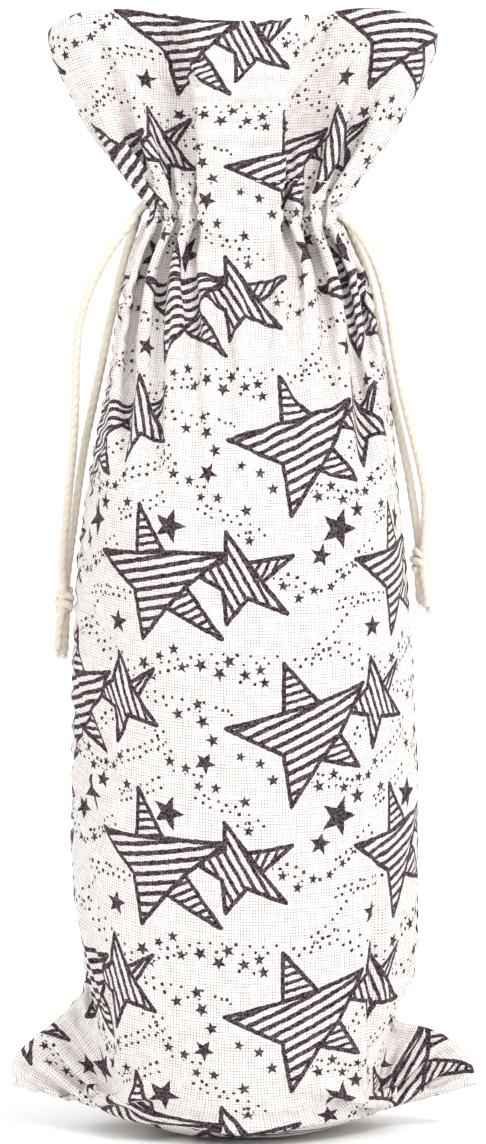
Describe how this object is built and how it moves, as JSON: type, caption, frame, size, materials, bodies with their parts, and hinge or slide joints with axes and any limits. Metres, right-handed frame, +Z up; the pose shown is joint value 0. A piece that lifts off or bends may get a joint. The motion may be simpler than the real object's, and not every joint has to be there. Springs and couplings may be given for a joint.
{
  "type": "drawstring gift sack",
  "caption": "Cotton drawstring sack for a wrapped bottle or gift, standing filled out, with a cinched neck, a flared frill and two knotted cord loops that swing and pull out.",
  "frame": {"origin": "on the floor under the middle of the standing sack, at the bottom centre of its bounding box", "axes": "+Z up along the sack's length, X along the bottom seam across the width, front panel faces -Y"},
  "size_m": [0.154, 0.0916, 0.3671],
  "materials": {
    "printed_cotton": "open plain-weave white cotton with a dark purple-grey star print",
    "seam_allowance": "raw cotton edge with overlock thread",
    "thread": "white sewing thread",
    "cord": "soft twisted off-white cotton cord"
  },
  "bodies": {
    "sack": {"front_panel": "printed_cotton", "back_panel": "printed_cotton", "left_side_seam": "seam_allowance", "right_side_seam": "seam_allowance", "bottom_seam": "seam_allowance", "front_lower_stitches": "thread", "front_upper_stitches": "thread", "back_lower_stitches": "thread", "back_upper_stitches": "thread"},
    "left_pull": {"left_cord_run": "cord"},
    "right_pull": {"right_cord_run": "cord"},
    "left_loop": {"left_outer_strand": "cord", "left_inner_strand": "cord", "left_knot": "cord", "left_outer_tail": "cord", "left_inner_tail": "cord"},
    "right_loop": {"right_outer_strand": "cord", "right_inner_strand": "cord", "right_knot": "cord", "right_outer_tail": "cord", "right_inner_tail": "cord"}
  },
  "joints": [
    {"name": "left_cord_pull", "type": "slide", "parent": "sack", "child": "left_pull", "axis": [-1, 0, 0], "range_m": [0, 0.014]},
    {"name": "left_loop_swing", "type": "hinge", "parent": "left_pull", "child": "left_loop", "pos_m": [-0.0315, 0, 0.304], "axis": [0, 1, 0], "range_deg": [0, 90]},
    {"name": "right_cord_pull", "type": "slide", "parent": "sack", "child": "right_pull", "axis": [1, 0, 0], "range_m": [0, 0.014]},
    {"name": "right_loop_swing", "type": "hinge", "parent": "right_pull", "child": "right_loop", "pos_m": [0.0315, 0, 0.3], "axis": [0, -1, 0], "range_deg": [0, 90]}
  ]
}
